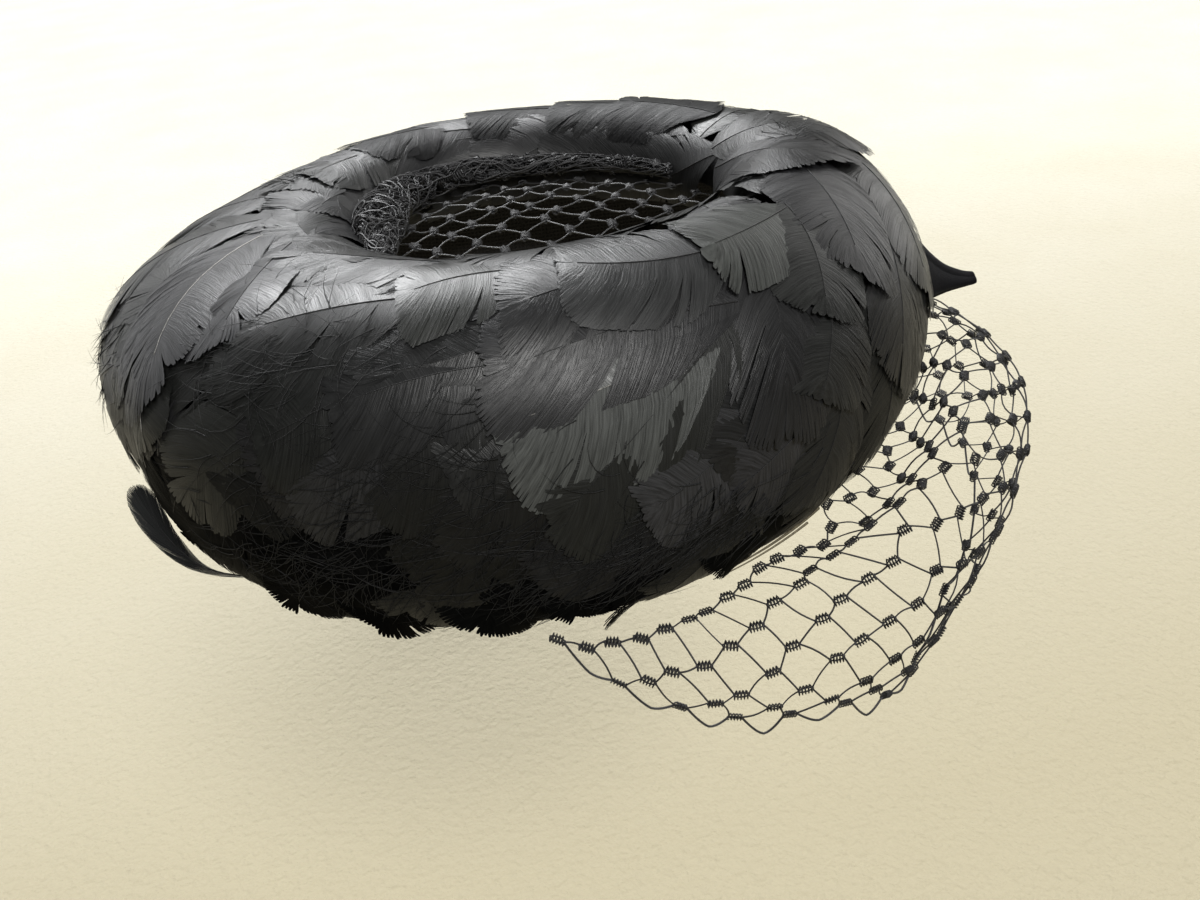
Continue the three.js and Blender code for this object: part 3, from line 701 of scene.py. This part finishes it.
# Feathers whose tips stand off below the hem.
HEM_FEATHERS = table(
    "root tip width curl blunt",
    ((-96, 0.95), (-106, 0.30), 22, 2.6, 1.0),
    ((-110, 0.95), (-121, 0.30), 22, 2.2, 1.0),
    ((-84, 0.90), (-93, 0.28), 20, 1.6, 1.0),
    ((-124, 0.95), (-134, 0.35), 20, 1.6, 1.0),
    ((-70, 0.60), (-88, 0.16), 10, 3.5, 1.3),
    ((-60, 0.80), (-70, 0.26), 22, 1.2, 1.0),
)


def leading_feathers(pile, rows, seed):
    dice = random.Random(seed)
    for row in rows:
        # Lightness is painted light and shade: the darker feathers also take the dull painted shade copies
        # of the material.
        satin = row["light"] >= PAINTED_HALF_SHADE_BELOW
        finish = 0 if satin else 2 if row["light"] >= PAINTED_SHADE_BELOW else 1
        rough = 0.38 if satin else 0.5
        add_feather(
            pile, OnRoll(row["root"], row["tip"], row["bow"]), row["width"], dice,
            low=row["lift"] - LEADING_LIFT, high=row["lift"] + 0.3, tilt=0.25, rough=rough,
            tint=black_shade(dice, row["light"]), shaft=SHAFT_PALE if row["pale"] else SHAFT_DARK,
            blunt=dice.uniform(0.45, 0.8), splits=dice.randrange(1, 3), finish=finish,
        )


def hem_quills(pile, rows):
    """Bare brown quill ends that show along the hem."""
    share = np.linspace(0, 1, 12)[None, :]
    for row in rows:
        (turn, place), (to_turn, to_place) = row["root"], row["tip"]
        turn = np.radians(turn + (to_turn - turn) * share)
        place = place + (to_place - place) * share
        path = roll_point(turn, place) + roll_normal(turn, place) * row["lift"]
        radii = row["radius"] * (1 - 0.6 * share)
        tubes(pile, path, radii, 5, roll_normal(turn, place), QUILL_BROWN, 0.4)


def hem_feathers(pile, rows, seed):
    dice = random.Random(seed)
    for row in rows:
        # A dark tint and the dull copy of the material: painted shade at the hem.
        add_feather(
            pile, OnRoll(row["root"], row["tip"]), row["width"], dice, low=0.6, high=2.0, rough=0.5,
            curl=row["curl"], blunt=row["blunt"], tint=black_shade(dice, 0.5), splits=3, finish=1,
        )


right_pile = Pile()
feather_backing(right_pile, -1)
feather_bands(right_pile, -1, 11)
leading_feathers(right_pile, LEADING_FEATHERS, 5)
hem_feathers(right_pile, HEM_FEATHERS, 19)
hem_quills(right_pile, HEM_QUILLS)
add_wisps(right_pile, RIGHT_WISPS, 61)
right_pile.make("right_feathers", FEATHER_SHADE_COPIES, ["feather_pad_right"])

# Left feather pad: the same dyed feathers, glued in rows over the left half of the roll. Its front end
# is tucked below the right pad's end.
LEFT_WISPS = table(
    "spot spread count length heading fan low rise",
    ((150, 1.95), 2, 30, 6, 20, 60, 2.0, 3),
    ((172, 1.2), 6, 50, 7, 60, 40, 1.5, 3),
)
# Lightness is painted light and shade: below 0.8 it is painted shade on the far crest.
LEFT_LEADING = table(
    "root tip width bow lift light pale",
    ((9, 1.95), (13, 1.15), 28, 2, 2.6, 1.0, 0),
    ((20, 1.90), (26, 1.15), 28, 2, 2.4, 1.0, 0),
    ((20, 2.12), (52, 2.05), 26, 0, 3.3, 0.7, 0),
    ((38, 2.05), (70, 1.98), 26, 0, 3.0, 0.7, 0),
    ((60, 2.05), (94, 1.95), 26, 0, 3.0, 0.75, 0),
    ((92, 2.10), (128, 1.92), 24, 0, 3.0, 0.78, 0),
    ((112, 2.25), (152, 1.96), 22, 0, 3.2, 1.4, 0),
)
left_pile = Pile()
feather_backing(left_pile, 1)
feather_bands(left_pile, 1, 23)
leading_feathers(left_pile, LEFT_LEADING, 31)
add_wisps(left_pile, LEFT_WISPS, 67)
left_pile.make("left_feathers", FEATHER_SHADE_COPIES, ["feather_pad_left"])

# Back feathers: five broad dyed feathers that cover the join at the back. Their roots are glued on, and
# their tips hang down over the roll and stand a little off it.
# Lightness is painted light and shade: above 1 it is a painted sheen.
BACK_FEATHERS = table(
    "root tip width bow lift light pale",
    ((-160, 1.50), (-150, 0.98), 22, 4, 2.2, 1.1, 1),
    ((160, 2.05), (158, 1.25), 30, 0, 2.6, 1.1, 0),
    ((178, 2.00), (176, 1.20), 30, 0, 2.9, 1.8, 0),
    ((-176, 2.05), (-148, 1.22), 30, 5, 3.3, 1.5, 1),
    ((-158, 2.00), (-140, 1.48), 20, 5, 3.7, 1.6, 0),
)

back_pile = Pile()
leading_feathers(back_pile, BACK_FEATHERS, 8)
back_pile.make("back_cover_feathers", FEATHER_SHADE_COPIES, ["back_feathers"])

# Loose feather: one narrow glossy feather with a thin shaft. Its root is still glued under the hem at
# the back, and the rest has come away and curls up.
LOOSE_QUILL = [(-35, 67, -1.5), (-37, 76, 0.5), (-35.5, 85, 5), (-29.5, 92, 12), (-20, 97, 20)]
LOOSE_WIDTH = 9
LOOSE_LEAN = -30


def spline(rows, share):
    """A smooth line through rows of numbers, at shares from 0 at the first to 1 at the last."""
    rows = np.asarray(rows, dtype=float)
    last = len(rows) - 1
    spot = np.clip(share, 0, 1) * last
    start = np.minimum(spot.astype(int), last - 1)
    part = (spot - start)[..., None]
    before, here = rows[np.maximum(start - 1, 0)], rows[start]
    after, beyond = rows[start + 1], rows[np.minimum(start + 2, last)]
    leaving, coming = (after - before) / 2, (beyond - here) / 2
    cubic = (2 * here - 2 * after + leaving + coming) * part ** 3
    return cubic + (3 * after - 3 * here - 2 * leaving - coming) * part ** 2 + leaving * part + here


class OnQuill:
    """The place of a feather that stands free along a curved line."""

    def __init__(self, quill, lean):
        self.quill, self.lean = quill, math.radians(lean)
        self.length = path_length(spline(quill, np.linspace(0, 1, 20)))

    def lay(self, along, across, lift):
        here = spline(self.quill, along)
        ahead = unit(spline(self.quill, along + 0.01) - spline(self.quill, along - 0.01))
        level = unit(np.cross(np.array([0, 0, 1.0]), ahead))
        rise = np.cross(ahead, level)
        side = level * math.cos(self.lean) - rise * math.sin(self.lean)
        out = level * math.sin(self.lean) + rise * math.cos(self.lean)
        return here + side * across[..., None] + out * lift[..., None]


loose_pile = Pile()
add_feather(
    loose_pile, OnQuill(LOOSE_QUILL, LOOSE_LEAN), LOOSE_WIDTH, random.Random(3),
    low=0, high=0, cup=0.6, tilt=0, splits=0, clump=0, ragged=0.006, stray=0, wave=0.05, ruffle=0.02,
    blunt=1.0, rough=0.3, tint=(0.006, 0.0062, 0.0062),
)
loose_pile.make("curled_feather", FEATHER_SHADE_COPIES, ["loose_feather"])

# Velvet point: a beak of folded black velvet that stands out at the front, pulled to a flat narrow tip.
# Its broad end is sewn to the roll.
POINT_STATIONS = table(
    "y z half_width half_height",
    (-96.6, 33.5, 19, 15),
    (-101, 33, 16.5, 13.4),
    (-105, 31.5, 13, 10),
    (-109, 29.5, 9.5, 6.8),
    (-113.5, 27.8, 6.5, 3.9),
    (-118.5, 26.6, 4, 2.2),
    (-121.5, 26.2, 2.6, 1.7),
)
POINT_X = 3
POINT_SOFTNESS = 0.14
POINT_STEPS = 60
POINT_SIDES = 96
POINT_FOLDS = 5
POINT_FOLD_DEPTH = 0.09
VELVET_COLOR = (0.0008, 0.0008, 0.001)


def velvet_material():
    material, shader = new_material(
        "black_velvet", Roughness=0.9, Specular_IOR_Level=0.03, Sheen_Weight=0.015,
        Sheen_Roughness=0.35, Sheen_Tint=(0.7, 0.72, 0.76, 1),
    )
    place = add_node(material, "TexCoord")
    pile_noise = add_node(material, "TexNoise", {"Scale": 2500, "Detail": 2})
    crush = add_node(material, "TexNoise", {"Scale": 180})
    dark, light = ((*[part * share for part in VELVET_COLOR], 1) for share in (0.6, 2.2))
    tone = add_node(material, "Mix", {"A": dark, "B": light}, data_type="RGBA")
    bump = add_node(material, "Bump", {"Strength": 0.5, "Distance": 0.0003})
    wire(
        material,
        (place, "Object", pile_noise, "Vector"),
        (place, "Object", crush, "Vector"),
        (crush, "Fac", tone, "Factor"),
        (tone, "Result", shader, "Base Color"),
        (pile_noise, "Fac", bump, "Height"),
        (bump, "Normal", shader, "Normal"),
    )
    return material


def velvet_points():
    share = np.linspace(0, 1, POINT_STEPS)[:, None]
    angle = np.linspace(0, 2 * math.pi, POINT_SIDES, endpoint=False)[None, :]
    rows = [list(station.values()) for station in POINT_STATIONS]
    y, z, half_width, half_height = np.moveaxis(spline(rows, share), -1, 0)
    soft = 1 - POINT_SOFTNESS * (1 - np.abs(np.cos(2 * angle)))
    twist = angle + 0.9 * share
    folds = 1 - POINT_FOLD_DEPTH * np.abs(np.sin(POINT_FOLDS * twist / 2)) * np.sin(share * math.pi)
    x = POINT_X + half_width * soft * folds * np.cos(angle)
    z = z + half_height * soft * folds * np.sin(angle)
    return np.stack([x, np.broadcast_to(y, x.shape), z], axis=-1)


velvet_pile = Pile()
velvet_skin = velvet_points()
velvet_end = np.broadcast_to(velvet_skin[-1].mean(axis=0), velvet_skin[-1:].shape) - np.array([0, 0.6, 0])
velvet_skin = np.concatenate([velvet_skin, velvet_end])
velvet_pile.add(
    velvet_skin, grid_quads(1, POINT_STEPS + 1, POINT_SIDES, closed=True), (0, 0), VELVET_COLOR
)
velvet_point = velvet_pile.make("velvet_beak", [velvet_material()], ["velvet_point"])

# Crown net: a piece of the same net as the veil, laid over the opening and caught inside the lip. Its
# threads run round in six-sided cells, and each crossing is a small bar wound with thread.
NET_COLOR = (0.007, 0.007, 0.0075)
THREAD_RADIUS = 0.21
THREAD_SIDES = 4
KNOT_HALF = 1.6
KNOT_WINDINGS = 4.5
KNOT_SPREAD = 1.1
KNOT_DEPTH = 0.6
KNOT_THREAD = 0.21
KNOT_CORE = 0.5
CROWN_RIM_Z = 57.6
CROWN_RISE = 5
CROWN_EDGE = 8
CROWN_COLUMNS = 7
CROWN_ROWS = 20
CROWN_KEEP = 0.97


def thread_material():
    material, shader = new_material("black_net", Roughness=0.5, Specular_IOR_Level=0.2)
    marks = add_node(material, "UVMap", uv_map="marks")
    turns = {"Scale": 1.2, "Distortion": 0.5}
    twist = add_node(material, "TexWave", turns, bands_direction="DIAGONAL")
    dark, light = ((*[part * share for part in NET_COLOR], 1) for share in (0.5, 1.6))
    tone = add_node(material, "Mix", {"A": dark, "B": light}, data_type="RGBA")
    bump = add_node(material, "Bump", {"Strength": 0.5, "Distance": 0.0001})
    wire(
        material,
        (marks, "UV", twist, "Vector"),
        (twist, "Fac", tone, "Factor"),
        (tone, "Result", shader, "Base Color"),
        (twist, "Fac", bump, "Height"),
        (bump, "Normal", shader, "Normal"),
    )
    return material


NET_FINISH = thread_material()


def add_knots(pile, middles, along, out):
    """Bars wound with thread: middle, way of the bar and way out of the net of each."""
    up = np.cross(out, along)
    share = np.linspace(-1, 1, int(KNOT_WINDINGS * 7) + 1)[None, :, None]
    angle = share * KNOT_WINDINGS * math.pi
    paths = middles[:, None] + along[:, None] * share * KNOT_HALF
    paths = paths + up[:, None] * KNOT_SPREAD * np.cos(angle) + out[:, None] * KNOT_DEPTH * np.sin(angle)
    tubes(pile, paths, KNOT_THREAD, 3, along[:, None] * np.ones_like(paths), NET_COLOR)
    core = middles[:, None] + along[:, None] * np.linspace(-1.15, 1.15, 4)[None, :, None] * KNOT_HALF
    apart = up[:, None] * KNOT_CORE * np.array([0.2, 1, 1, 0.2])[None, :, None]
    for side in (-1, 1):
        tubes(pile, core + side * apart, THREAD_RADIUS, 3, out[:, None] * np.ones_like(core), NET_COLOR)


def lattice(columns, rows):
    """Row and column of each knot, and its share of the way across; every other row is shifted."""
    line, column = np.meshgrid(np.arange(rows + 1), np.arange(columns), indexing="ij")
    return line, column, (column + 0.25 + 0.5 * (line % 2)) / columns


def add_net(pile, surface, u, v, kept, seed, slack=0.4):
    """A net on a surface: a knot at each kept place of the lattice, joined by slanting threads."""
    dice = np.random.default_rng(seed)
    rows, columns = u.shape[0] - 1, u.shape[1]
    line, column, _ = lattice(columns, rows)
    tiny = 0.002
    along = surface(u + tiny, v) - surface(u - tiny, v)
    half = KNOT_HALF * 0.9 / (np.linalg.norm(along, axis=-1) / (2 * tiny))
    along = unit(along)
    down = unit(surface(u, np.clip(v + tiny, 0, 1)) - surface(u, np.clip(v - tiny, 0, 1)))
    out = unit(np.cross(along, down))
    # Each knot is turned a little in the net.
    tilt = dice.normal(0, 0.16, u.shape)[..., None]
    way = unit(along * np.cos(tilt) + unit(np.cross(out, along)) * np.sin(tilt))
    add_knots(pile, surface(u, v)[kept], way[kept], out[kept])
    for go in (-1, 1):
        # From a knot's end to the nearest end of the knot below on that side.
        below = column + (line % 2) + (0 if go > 0 else -1)
        fits = (line < rows) & (below >= 0) & (below < columns)
        next_line = np.minimum(line + 1, rows)
        next_column = np.clip(below, 0, columns - 1)
        fits &= kept & kept[next_line, next_column]
        share = np.linspace(0, 1, 6)[None, :]
        starts = surface(u + go * half, v)[fits][:, None]
        ends = surface(u - go * half, v)[next_line, next_column][fits][:, None]
        paths = starts + (ends - starts) * share[..., None]
        faces = out[fits][:, None] * np.ones_like(paths)
        bow = dice.normal(0, slack, len(paths))[:, None, None] * np.sin(share * math.pi)[..., None]
        sway = dice.normal(0, slack * 0.6, len(paths))[:, None, None] * np.sin(share * math.pi)[..., None]
        sideways = unit(np.cross(faces, paths[:, -1:] - paths[:, :1]))
        paths = paths + faces * bow + sideways * sway
        tubes(pile, paths, THREAD_RADIUS, THREAD_SIDES, faces, NET_COLOR)
    return half


def crown_surface(u, v):
    rim = [float(ring_at("lip", np.array(turn))[0]) + CROWN_EDGE for turn in (0, QUARTER, math.pi)]
    x = (2 * u - 1) * rim[1]
    y = -rim[0] + v * (rim[0] + rim[2])
    edge = ring_at("lip", np.arctan2(x, -y))[0] + CROWN_EDGE
    share = np.hypot(x, y) / edge
    return np.stack(np.broadcast_arrays(x, y, CROWN_RIM_Z + CROWN_RISE * (1 - share ** 2)), axis=-1)


def inside_rim(points):
    x, y = points[..., 0], points[..., 1]
    edge = ring_at("lip", np.arctan2(x, -y))[0] + CROWN_EDGE
    return np.hypot(x, y) < edge * CROWN_KEEP


crown_pile = Pile()
crown_line, _, crown_u = lattice(CROWN_COLUMNS, CROWN_ROWS)
crown_dice = np.random.default_rng(17)
crown_u = crown_u + crown_dice.normal(0, 0.006, crown_u.shape)
crown_v = np.clip(crown_line / CROWN_ROWS + crown_dice.normal(0, 0.006, crown_u.shape), 0, 1)
crown_kept = inside_rim(crown_surface(crown_u, crown_v))
add_net(crown_pile, crown_surface, crown_u, crown_v, crown_kept, 18)
crown_net = crown_pile.make("crown_netting", [NET_FINISH], ["crown_net"])

# Gathered net: the crown net's spare width, crushed into a loose bundle along the lip at the back and
# left, thickest at the back. Threads and knots lie in it every way.
GATHER_STATIONS = table(
    "turn radius",
    (22, 1.6),
    (45, 1.9),
    (70, 2.4),
    (95, 3.0),
    (120, 3.7),
    (145, 4.6),
    (170, 5.0),
    (192, 4.2),
    (210, 2.2),
)
GATHER_Z = 61.5
GATHER_THREADS = 34
GATHER_STEPS = 120
GATHER_KNOTS = 150
GATHER_SWING = 1.35


def gather_point(share, swing, rise):
    turn, radius = np.moveaxis(spline([list(row.values()) for row in GATHER_STATIONS], share), -1, 0)
    turn = np.radians(turn)
    reach = ring_at("lip", turn)[0] - 0.4 - radius * 1.12 + swing * radius
    z = GATHER_Z + radius * (1 + 0.8 * rise)
    return np.stack([reach * np.sin(turn), -reach * np.cos(turn), z], axis=-1)


gather_pile = Pile()
gather_dice = np.random.default_rng(29)
waves = gather_dice.normal(0, 1, (2, GATHER_THREADS, 9))
share = np.linspace(0, 1, GATHER_STEPS)[None, :]
phase = gather_dice.uniform(0, 2 * math.pi, (2, GATHER_THREADS, 9))
paths_swing, paths_rise = (
    sum(
        waves[kind, :, order, None] / (1.5 + order * 0.35)
        * np.sin((order + 1) * 7 * share + phase[kind, :, order, None])
        for order in range(9)
    )
    for kind in (0, 1)
)
limit = np.maximum(np.hypot(paths_swing, paths_rise), 1) / GATHER_SWING
gather_paths = gather_point(
    np.broadcast_to(share, paths_swing.shape), paths_swing / limit, paths_rise / limit
)
gather_facing = np.broadcast_to(np.array([0.1, 0.2, 1.0]), gather_paths.shape)
tubes(gather_pile, gather_paths, THREAD_RADIUS, 3, gather_facing, NET_COLOR)
knot_share = gather_dice.random(GATHER_KNOTS)
knot_angle = gather_dice.uniform(0, 2 * math.pi, GATHER_KNOTS)
knot_places = gather_point(knot_share, 0.9 * np.cos(knot_angle), 0.9 * np.sin(knot_angle))
knot_along = unit(gather_dice.normal(0, 1, (GATHER_KNOTS, 3)))
knot_out = unit(np.cross(knot_along, gather_dice.normal(0, 1, (GATHER_KNOTS, 3))))
add_knots(gather_pile, knot_places, knot_along, knot_out)
net_gather = gather_pile.make("gathered_netting", [NET_FINISH], ["net_gather"])

# Face veil: the same net cut as a long strip, gathered and sewn under the hem from side to side,
# standing out in front in a soft billow and turning back in. Its free edge is a scalloped thread.
VEIL_LINES = table(
    "front side front_z side_z",
    (1, 1, -1, -1),
    (20, 6, -6, -7),
    (36, 12, 9, -8),
    (51, 20, -3, -18),
    (47, 22, -18, -29),
    (36, 17, -26, -38),
)
VEIL_END = 97
VEIL_FULL = 56
VEIL_END_SIZE = 0.12
VEIL_COLUMNS = 26
VEIL_ROWS = 20
VEIL_PITCH = 5.2
VEIL_JITTER = 0.5
VEIL_WAVES = 0.9
FLAP = {"turn": -47, "spread": 9, "drop": 13, "start": 0.7}
CREASE = {"turn": 6, "spread": 22, "place": 0.36, "width": 0.055, "depth": 5}
VEIL_EDGE = 2.5
EDGE_THREAD = 0.28
EDGE_SAG = 4.2


def veil_point(u, v):
    """A point of the veil: u goes from its right end to its left one, v from the hem to the free edge."""
    side = 2 * u - 1
    turn = side * math.radians(VEIL_END)
    ease = np.clip((1 - np.abs(side)) * VEIL_END / (VEIL_END - VEIL_FULL), 0, 1)
    size = VEIL_END_SIZE + (1 - VEIL_END_SIZE) * np.sin(ease * QUARTER)
    front = spline([(row["front"], row["front_z"]) for row in VEIL_LINES], v)
    flank = spline([(row["side"], row["side_z"]) for row in VEIL_LINES], v)
    facing = np.where(np.cos(turn) > 0, np.cos(turn) ** 2, 0)[..., None]
    reach, z = np.moveaxis(flank + (front - flank) * facing, -1, 0)
    start = VEIL_LINES[0]
    off = (side * VEIL_END - FLAP["turn"]) / FLAP["spread"]
    ramp = np.clip((v - FLAP["start"]) / (1 - FLAP["start"]), 0, 1)
    hem, hem_z = ring_at("hem", turn)
    fold = (side * VEIL_END - CREASE["turn"]) / CREASE["spread"]
    crease = CREASE["depth"] * np.exp(-fold ** 2 - ((v - CREASE["place"]) / CREASE["width"]) ** 2)
    waves = VEIL_WAVES * np.sin(9 * turn + 4 * v) * np.sin(v * QUARTER)
    reach = hem + start["front"] + (reach - start["front"] - crease + waves) * size
    z = hem_z + start["front_z"] + (z - start["front_z"]) * size - FLAP["drop"] * np.exp(-off * off) * ramp
    return np.stack([reach * np.sin(turn), -reach * np.cos(turn), z], axis=-1)


def veil_down(u):
    """Shares down the veil, and how far down each of them is, along a line at each share across."""
    shares = np.linspace(0, 1, 121)
    steps = np.linalg.norm(np.diff(veil_point(u[..., None], shares), axis=-2), axis=-1)
    return shares, np.concatenate([np.zeros((*u.shape, 1)), np.cumsum(steps, axis=-1)], axis=-1)


veil_pile = Pile()
veil_line, _, veil_u = lattice(VEIL_COLUMNS, VEIL_ROWS)
veil_dice = np.random.default_rng(41)
veil_u = veil_u + veil_dice.normal(0, VEIL_JITTER / 400, veil_u.shape)
# Rows lie at even distances up from the free edge, so the shorter columns have fewer below the hem.
shares, down = veil_down(veil_u)
wanted = down[..., -1] - VEIL_EDGE - (VEIL_ROWS - veil_line) * VEIL_PITCH
veil_kept = wanted >= 0
wanted = np.maximum(wanted + veil_dice.normal(0, VEIL_JITTER, veil_u.shape), 0)
rows = zip(wanted.ravel(), down.reshape(-1, len(shares)))
veil_v = np.array([np.interp(goal, path, shares) for goal, path in rows]).reshape(veil_u.shape)
veil_half = add_net(veil_pile, veil_point, veil_u, veil_v, veil_kept, 42)
# The free edge: a slightly thicker twisted thread hangs in a point between each two last knots.
edge = veil_kept[-1, :-1] & veil_kept[-1, 1:]
edge_share = np.linspace(0, 1, 13)[None, :]
edge_start = veil_point(veil_u[-1] + veil_half[-1], veil_v[-1])[:-1][edge][:, None]
edge_stop = veil_point(veil_u[-1] - veil_half[-1], veil_v[-1])[1:][edge][:, None]
edge_path = edge_start + (edge_stop - edge_start) * edge_share[..., None]
sag = EDGE_SAG * (1 - np.abs(2 * edge_share - 1) ** 1.5)
edge_path[..., 2] -= sag * veil_dice.uniform(0.7, 1.2, len(edge_path))[:, None]
edge_facing = np.broadcast_to(np.array([0.0, 0.0, 1.0]), edge_path.shape) + 1e-3
tubes(veil_pile, edge_path, EDGE_THREAD, 5, edge_facing, NET_COLOR)
face_veil = veil_pile.make("face_netting", [NET_FINISH], ["face_veil"])
